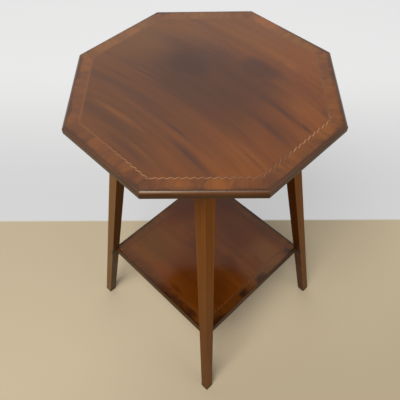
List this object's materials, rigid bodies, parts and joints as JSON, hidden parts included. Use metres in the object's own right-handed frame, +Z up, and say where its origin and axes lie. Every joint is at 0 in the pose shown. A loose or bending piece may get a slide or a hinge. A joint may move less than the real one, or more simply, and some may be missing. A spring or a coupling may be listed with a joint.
{
  "type": "occasional table",
  "caption": "Octagonal inlaid occasional table: fixed crossbanded top with a moulded edge, on square tapered splayed legs joined by a square banded undershelf.",
  "frame": {"origin": "on the floor, under the middle of the top", "axes": "+Z up; the undershelf's sides lie along X and Y, and the legs stand on the diagonals"},
  "size_m": [0.45, 0.45, 0.72],
  "materials": {
    "top_field": "straight-grained mahogany, French polished, satin",
    "shelf_field": "mahogany, French polished, glossy",
    "crossbanding": "cross-grain mahogany veneer, French polished",
    "chequer_stringing": "chequered box and dyed stringing, polished",
    "edge_moulding": "dark mahogany moulding, satin",
    "leg_wood": "mahogany, satin",
    "frieze_wood": "mahogany, satin",
    "block_wood": "sawn pine",
    "screw_steel": "dull slotted steel",
    "dowel_wood": "beech"
  },
  "bodies": {
    "root": {"corner_block_back_left": "block_wood", "corner_block_back_right": "block_wood", "corner_block_front_left": "block_wood", "corner_block_front_right": "block_wood", "leg_back_left": "leg_wood", "leg_back_right": "leg_wood", "leg_front_left": "leg_wood", "leg_front_right": "leg_wood", "rail_back": "frieze_wood", "rail_front": "frieze_wood", "rail_left": "frieze_wood", "rail_right": "frieze_wood", "shelf_board": "shelf_field", "shelf_crossband_back": "crossbanding", "shelf_crossband_front": "crossbanding", "shelf_crossband_left": "crossbanding", "shelf_crossband_right": "crossbanding", "shelf_dowels": "dowel_wood", "shelf_edge_moulding_back": "edge_moulding", "shelf_edge_moulding_front": "edge_moulding", "shelf_edge_moulding_left": "edge_moulding", "shelf_edge_moulding_right": "edge_moulding", "shelf_stringing_back": "chequer_stringing", "shelf_stringing_front": "chequer_stringing", "shelf_stringing_left": "chequer_stringing", "shelf_stringing_right": "chequer_stringing", "top_board": "top_field", "top_crossband_back": "crossbanding", "top_crossband_back_left": "crossbanding", "top_crossband_back_right": "crossbanding", "top_crossband_front": "crossbanding", "top_crossband_front_left": "crossbanding", "top_crossband_front_right": "crossbanding", "top_crossband_left": "crossbanding", "top_crossband_right": "crossbanding", "top_edge_moulding_back": "edge_moulding", "top_edge_moulding_back_left": "edge_moulding", "top_edge_moulding_back_right": "edge_moulding", "top_edge_moulding_front": "edge_moulding", "top_edge_moulding_front_left": "edge_moulding", "top_edge_moulding_front_right": "edge_moulding", "top_edge_moulding_left": "edge_moulding", "top_edge_moulding_right": "edge_moulding", "top_screws": "screw_steel", "top_stringing_back": "chequer_stringing", "top_stringing_back_left": "chequer_stringing", "top_stringing_back_right": "chequer_stringing", "top_stringing_front": "chequer_stringing", "top_stringing_front_left": "chequer_stringing", "top_stringing_front_right": "chequer_stringing", "top_stringing_left": "chequer_stringing", "top_stringing_right": "chequer_stringing"}
  },
  "joints": []
}
